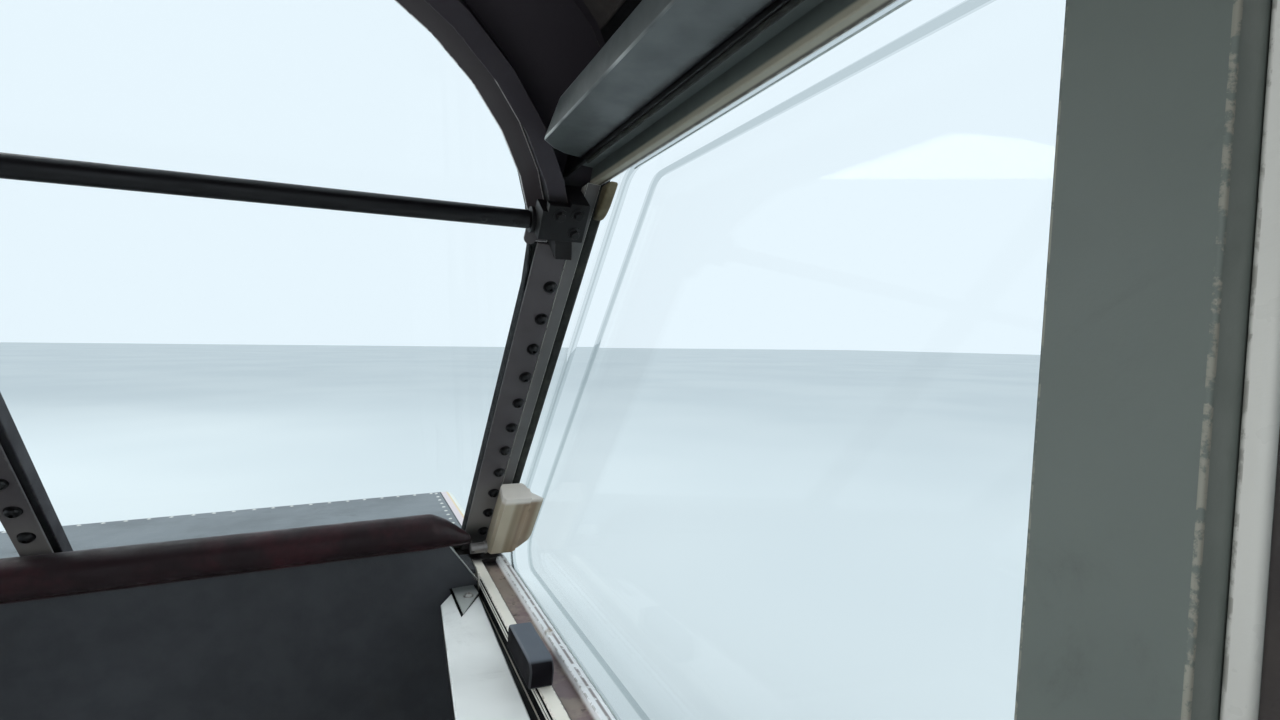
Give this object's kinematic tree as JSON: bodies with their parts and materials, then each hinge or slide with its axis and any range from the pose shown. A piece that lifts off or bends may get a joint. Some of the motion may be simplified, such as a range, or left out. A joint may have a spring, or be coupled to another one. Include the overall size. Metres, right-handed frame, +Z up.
{
  "type": "flying boat cockpit window section",
  "caption": "Cockpit section of a light amphibious flying boat: raked windshield with bow, post and strips, roof, sills and bulged side windows that slide aft on outer rails.",
  "frame": {"origin": "middle of the base frame's underside", "axes": "+Z up, -Y towards the nose, -X towards the starboard side"},
  "size_m": [1.377, 2, 1.1079],
  "materials": {
    "hull_paint": "gloss white paint, chipped at the edges",
    "frame_paint": "grey-green primer, satin",
    "deck_paint": "grey non-skid paint, matt",
    "dark_paint": "near-black brown paint, satin and worn",
    "lining": "near-black leathercloth lining",
    "strip_paint": "dark brown paint, worn to metal at the edges",
    "jamb_metal": "light grey painted angle, worn",
    "rubber": "dark green-black rubber",
    "green_paint": "grey-green paint with chips and beige edges",
    "sill_paint": "cream paint, brown and dirty in the channel",
    "trim_plastic": "off-white trim, scuffed",
    "tube_paint": "black enamel, worn at the rivets",
    "padding": "dark maroon-black padded leathercloth",
    "panel_paint": "dark grey crackle paint",
    "handle_plastic": "beige moulding, worn brown",
    "latch_plastic": "black moulding, scuffed",
    "rail_metal": "anodised aluminium rail",
    "acrylic": "clear acrylic, faintly green at its edges"
  },
  "bodies": {
    "section": {"base_frame": "frame_paint", "fore_frame": "frame_paint", "foredeck": "deck_paint", "windshield_sill": "hull_paint", "coaming_roll": "padding", "coaming_panel": "panel_paint", "roof_skin": "hull_paint", "ceiling_panel": "lining", "aft_frame": "frame_paint", "windshield_bow": "dark_paint", "arch_strip": "strip_paint", "centre_strip": "strip_paint", "centre_post": "dark_paint", "cross_tube": "tube_paint", "sill_rail_port": "sill_paint", "header_rail_port": "green_paint", "aft_post_port": "green_paint", "aft_side_panel_port": "hull_paint", "header_box_port": "green_paint", "placard_box_port": "trim_plastic", "corner_plate_port": "frame_paint", "sill_latch_port": "latch_plastic", "lower_rail_port": "rail_metal", "upper_rail_port": "rail_metal", "corner_post_port": "hull_paint", "front_jamb_port": "jamb_metal", "jamb_seal_port": "rubber", "post_strip_port": "strip_paint", "tube_bracket_port": "dark_paint", "windshield_pane_port": "acrylic", "lower_side_panel_port": "hull_paint", "sill_rail_stbd": "sill_paint", "header_rail_stbd": "green_paint", "aft_post_stbd": "green_paint", "aft_side_panel_stbd": "hull_paint", "header_box_stbd": "green_paint", "placard_box_stbd": "trim_plastic", "corner_plate_stbd": "frame_paint", "sill_latch_stbd": "latch_plastic", "lower_rail_stbd": "rail_metal", "upper_rail_stbd": "rail_metal", "corner_post_stbd": "hull_paint", "front_jamb_stbd": "jamb_metal", "jamb_seal_stbd": "rubber", "post_strip_stbd": "strip_paint", "tube_bracket_stbd": "dark_paint", "windshield_pane_stbd": "acrylic", "lower_side_panel_stbd": "hull_paint"},
    "sash_port": {"sash_pane_port": "acrylic", "sash_handle_port": "handle_plastic"},
    "sash_stbd": {"sash_pane_stbd": "acrylic", "sash_handle_stbd": "handle_plastic"}
  },
  "joints": [
    {"name": "window_slide_port", "type": "slide", "parent": "section", "child": "sash_port", "axis": [0, 1, 0], "range_m": [0, 0.39]},
    {"name": "window_slide_stbd", "type": "slide", "parent": "section", "child": "sash_stbd", "axis": [0, 1, 0], "range_m": [0, 0.39]}
  ]
}
